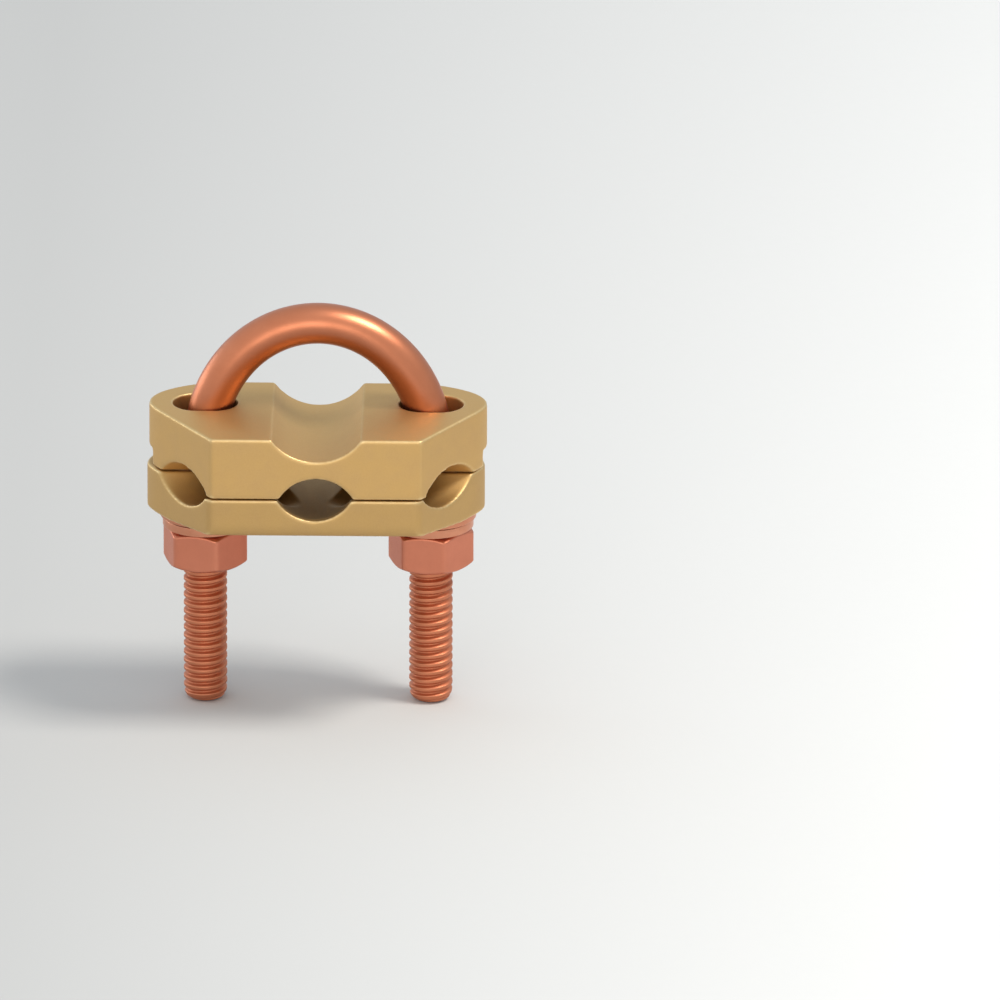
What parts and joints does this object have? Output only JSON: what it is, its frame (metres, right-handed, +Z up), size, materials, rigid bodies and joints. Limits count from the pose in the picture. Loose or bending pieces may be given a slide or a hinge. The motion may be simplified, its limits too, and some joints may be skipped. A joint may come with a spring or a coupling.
{
  "type": "ground rod clamp",
  "caption": "U-bolt ground rod clamp: a grooved saddle and a clamp plate with crossing conductor channels, drawn up by nuts on a threaded U-bolt.",
  "frame": {"origin": "on the axis of a 5/8 inch rod lying in the saddle's groove, in the plane of the U-bolt", "axes": "+X from the left leg to the right leg, +Y along the rod towards the castings' back face, +Z up through the bow"},
  "size_m": [0.0495, 0.0244, 0.061],
  "materials": {
    "cast_brass": "bead-blasted satin casting with worn bright edges",
    "copper_bolt": "satin copper coating on steel",
    "copper_nut": "matt copper plating on steel",
    "copper_washer": "satin copper plating on steel"
  },
  "bodies": {
    "u_bolt": {"u_bolt": "copper_bolt"},
    "saddle": {"saddle": "cast_brass"},
    "clamp_plate": {"clamp_plate": "cast_brass"},
    "washers_left": {"flat_washer_left": "copper_washer", "spring_washer_left": "copper_washer"},
    "washers_right": {"flat_washer_right": "copper_washer", "spring_washer_right": "copper_washer"},
    "nut_left": {"nut_left": "copper_nut"},
    "nut_right": {"nut_right": "copper_nut"}
  },
  "joints": [
    {"name": "clamp_plate_slide", "type": "slide", "parent": "u_bolt", "child": "clamp_plate", "axis": [0, 0, -1], "range_m": [0, 0.02032]},
    {"name": "saddle_slide", "type": "slide", "parent": "u_bolt", "child": "saddle", "axis": [0, 0, -1], "range_m": [0, 0.01016]},
    {"name": "washers_left_slide", "type": "slide", "parent": "u_bolt", "child": "washers_left", "axis": [0, 0, -1], "range_m": [0, 0.02032]},
    {"name": "washers_right_slide", "type": "slide", "parent": "u_bolt", "child": "washers_right", "axis": [0, 0, -1], "range_m": [0, 0.02032]},
    {"name": "nut_left_turn", "type": "hinge", "parent": "washers_left", "child": "nut_left", "pos_m": [-0.01645, 0, -0.0264], "axis": [0, 0, -1], "range_deg": [0, 5760]},
    {"name": "nut_right_turn", "type": "hinge", "parent": "washers_right", "child": "nut_right", "pos_m": [0.01645, 0, -0.0264], "axis": [0, 0, -1], "range_deg": [0, 5760]}
  ],
  "couplings": [
    {"joint": "saddle_slide", "follows": "clamp_plate_slide", "ratio": 0.5},
    {"joint": "washers_left_slide", "follows": "clamp_plate_slide", "ratio": 1},
    {"joint": "washers_right_slide", "follows": "clamp_plate_slide", "ratio": 1},
    {"joint": "nut_left_turn", "follows": "clamp_plate_slide", "rad_per_m": 4947.4},
    {"joint": "nut_right_turn", "follows": "clamp_plate_slide", "rad_per_m": 4947.4}
  ]
}
